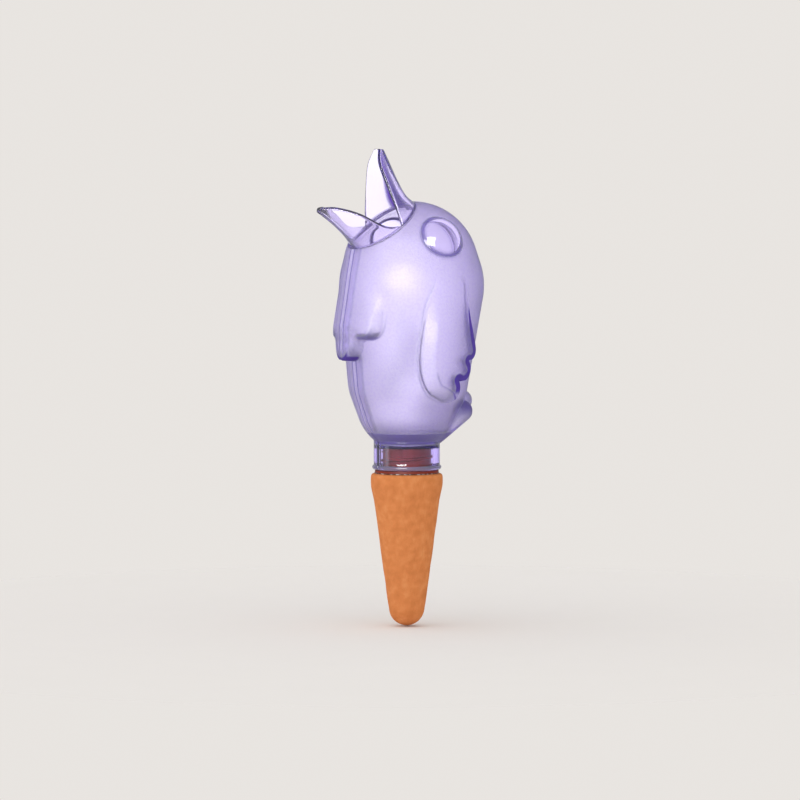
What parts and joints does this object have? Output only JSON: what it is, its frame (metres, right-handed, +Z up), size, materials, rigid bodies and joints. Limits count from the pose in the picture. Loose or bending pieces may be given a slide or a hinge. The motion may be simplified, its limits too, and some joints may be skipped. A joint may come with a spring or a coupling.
{
  "type": "self watering spike",
  "caption": "Self watering spike: a clear plastic bird shaped water reservoir, filled through its open beak, that screws on a hollow porous clay cone pushed into the soil.",
  "frame": {"origin": "on the neck axis at the rim of the clay cone, which is the soil line", "axes": "+Z up along the neck and the clay cone, -Y the way the bird looks, +X the bird's left"},
  "size_m": [0.0694, 0.0825, 0.2182],
  "materials": {
    "violet_plastic": "clear tinted, finely frosted body with glossy beak and eyes",
    "seal_rubber": "matte",
    "brown_plastic": "satin",
    "clear_adhesive": "clear, slightly milky",
    "terracotta": "unglazed, fine grain"
  },
  "bodies": {
    "spike": {"clay_cone": "terracotta", "adhesive_bead": "clear_adhesive", "screw_adapter": "brown_plastic"},
    "seal": {"seal_ring": "seal_rubber"},
    "reservoir": {"reservoir_left": "violet_plastic", "reservoir_right": "violet_plastic"}
  },
  "joints": [
    {"name": "thread_lift", "type": "slide", "parent": "spike", "child": "seal", "axis": [0, 0, 1], "range_m": [0, 0.006]},
    {"name": "neck_screw", "type": "hinge", "parent": "seal", "child": "reservoir", "pos_m": [0, 0, 0.0124], "axis": [0, 0, 1], "range_deg": [0, 540]}
  ],
  "couplings": [
    {"joint": "neck_screw", "follows": "thread_lift", "rad_per_m": 1570.8}
  ]
}
